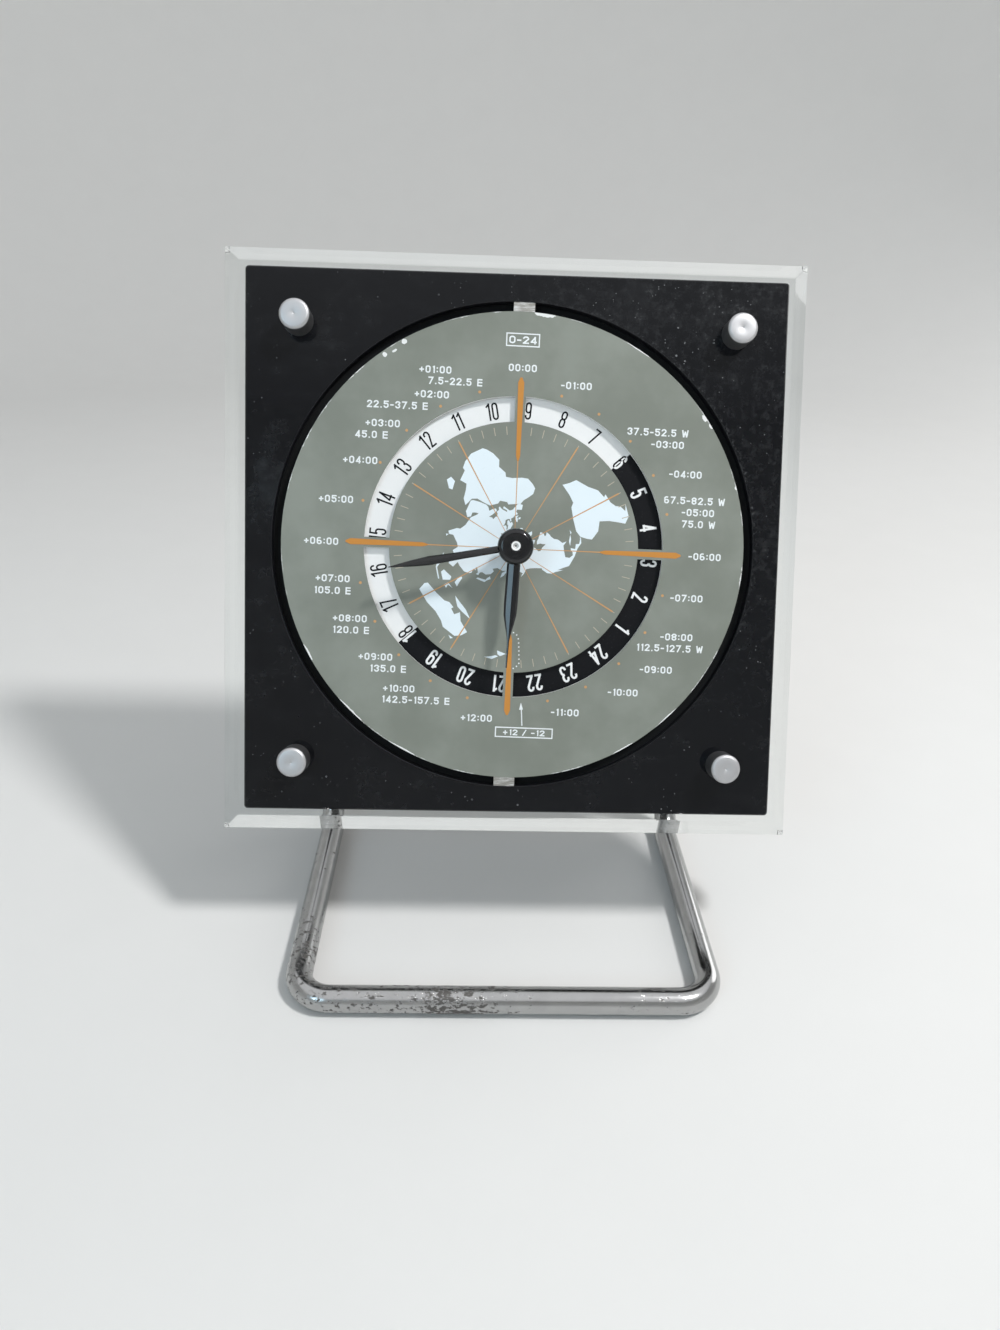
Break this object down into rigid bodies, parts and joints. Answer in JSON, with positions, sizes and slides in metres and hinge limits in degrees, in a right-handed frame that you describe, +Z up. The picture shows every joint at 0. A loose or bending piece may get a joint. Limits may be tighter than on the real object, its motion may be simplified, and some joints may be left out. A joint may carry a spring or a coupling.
{
  "type": "world time clock",
  "caption": "Square desk clock with a polar world-time dial, a turning day ring, two hands, a clear bevelled back plate and a bent wire stand.",
  "frame": {"origin": "middle of the footprint, on the table that the wire stand rests on", "axes": "+Z up, the dial faces -Y and leans back, +X to the right as the dial is read"},
  "size_m": [0.132, 0.096, 0.1504],
  "materials": {
    "clear_acrylic": "clear polished acrylic",
    "black_gloss": "polished black, dusty",
    "turned_aluminium": "turned, satin",
    "dial_paint": "matt grey-green paint on sheet",
    "ring_print": "white and black print",
    "hand_black": "black gloss",
    "case_black": "fine moulded grain",
    "steel": "bright zinc",
    "train_plastic": "natural moulded",
    "train_brass": "turned",
    "copper_winding": "enamelled wire",
    "board_green": "solder mask",
    "cell_wrap": "plain printed sleeve",
    "chromed_rod": "worn chrome plate"
  },
  "bodies": {
    "clock": {"clear_plate": "clear_acrylic", "black_panel": "black_gloss", "corner_studs": "turned_aluminium", "stud_screws": "steel", "dial": "dial_paint", "stator": "steel", "coil": "copper_winding", "circuit_board": "board_green", "quartz_can": "steel", "battery": "cell_wrap", "battery_contacts": "steel", "dial_carrier": "case_black", "back_frame": "case_black", "movement_front": "case_black", "movement_back": "case_black", "rear_case": "case_black", "movement_screws": "steel", "back_screws": "steel", "carrier_screws": "steel", "case_screws": "steel", "stand_screws": "steel", "wire_stand": "chromed_rod"},
    "minute_hand": {"minute_hand": "hand_black", "hub_cap": "black_gloss", "cannon_arbor": "train_brass"},
    "hour_hand": {"hour_hand": "hand_black", "hour_wheel": "train_plastic"},
    "day_ring": {"day_ring": "ring_print", "day_wheel": "train_plastic"},
    "day_idler": {"day_idler": "train_plastic"},
    "setting_wheel": {"minute_wheel": "train_plastic", "setting_knob": "case_black"},
    "rotor": {"rotor": "steel"},
    "step_wheel": {"step_wheel": "train_plastic"},
    "seconds_wheel": {"seconds_wheel": "train_plastic"},
    "third_wheel": {"third_wheel": "train_plastic"},
    "centre_wheel": {"centre_wheel": "train_plastic"},
    "battery_door": {"battery_door": "case_black"}
  },
  "joints": [
    {"name": "minute_spin", "type": "hinge", "parent": "clock", "child": "minute_hand", "pos_m": [0, 0.00241, 0.0922], "axis": [0, 0.9178, -0.3971], "continuous": true},
    {"name": "hour_spin", "type": "hinge", "parent": "clock", "child": "hour_hand", "pos_m": [0, 0.00241, 0.0922], "axis": [0, 0.9178, -0.3971], "continuous": true},
    {"name": "day_spin", "type": "hinge", "parent": "clock", "child": "day_ring", "pos_m": [0, 0.00241, 0.0922], "axis": [0, 0.9178, -0.3971], "continuous": true},
    {"name": "idler_spin", "type": "hinge", "parent": "clock", "child": "day_idler", "pos_m": [0, 0.00588, 0.10023], "axis": [0, 0.9178, -0.3971], "continuous": true},
    {"name": "setting_spin", "type": "hinge", "parent": "clock", "child": "setting_wheel", "pos_m": [-0.01, 0.00241, 0.0922], "axis": [0, 0.9178, -0.3971], "continuous": true},
    {"name": "rotor_spin", "type": "hinge", "parent": "clock", "child": "rotor", "pos_m": [0.0039, 0.00795, 0.10501], "axis": [0, 0.9178, -0.3971], "continuous": true},
    {"name": "step_spin", "type": "hinge", "parent": "clock", "child": "step_wheel", "pos_m": [0.01014, 0.00795, 0.10501], "axis": [0, 0.9178, -0.3971], "continuous": true},
    {"name": "seconds_spin", "type": "hinge", "parent": "clock", "child": "seconds_wheel", "pos_m": [0.01378, 0.00545, 0.09923], "axis": [0, 0.9178, -0.3971], "continuous": true},
    {"name": "third_spin", "type": "hinge", "parent": "clock", "child": "third_wheel", "pos_m": [0.00936, 0.00241, 0.0922], "axis": [0, 0.9178, -0.3971], "continuous": true},
    {"name": "centre_spin", "type": "hinge", "parent": "clock", "child": "centre_wheel", "pos_m": [0, 0.00241, 0.0922], "axis": [0, 0.9178, -0.3971], "continuous": true},
    {"name": "door_swing", "type": "hinge", "parent": "clock", "child": "battery_door", "pos_m": [0, 0.01832, 0.05143], "axis": [-1, 0, 0], "range_deg": [0, 110]}
  ],
  "couplings": [
    {"joint": "setting_spin", "follows": "minute_spin", "ratio": -0.33333},
    {"joint": "hour_spin", "follows": "minute_spin", "ratio": 0.083333},
    {"joint": "idler_spin", "follows": "minute_spin", "ratio": -0.0625},
    {"joint": "day_spin", "follows": "minute_spin", "ratio": 0.041667},
    {"joint": "step_spin", "follows": "rotor_spin", "ratio": -0.2},
    {"joint": "seconds_spin", "follows": "rotor_spin", "ratio": 0.033333},
    {"joint": "third_spin", "follows": "rotor_spin", "ratio": -0.0044444},
    {"joint": "centre_spin", "follows": "rotor_spin", "ratio": 0.00055556}
  ]
}
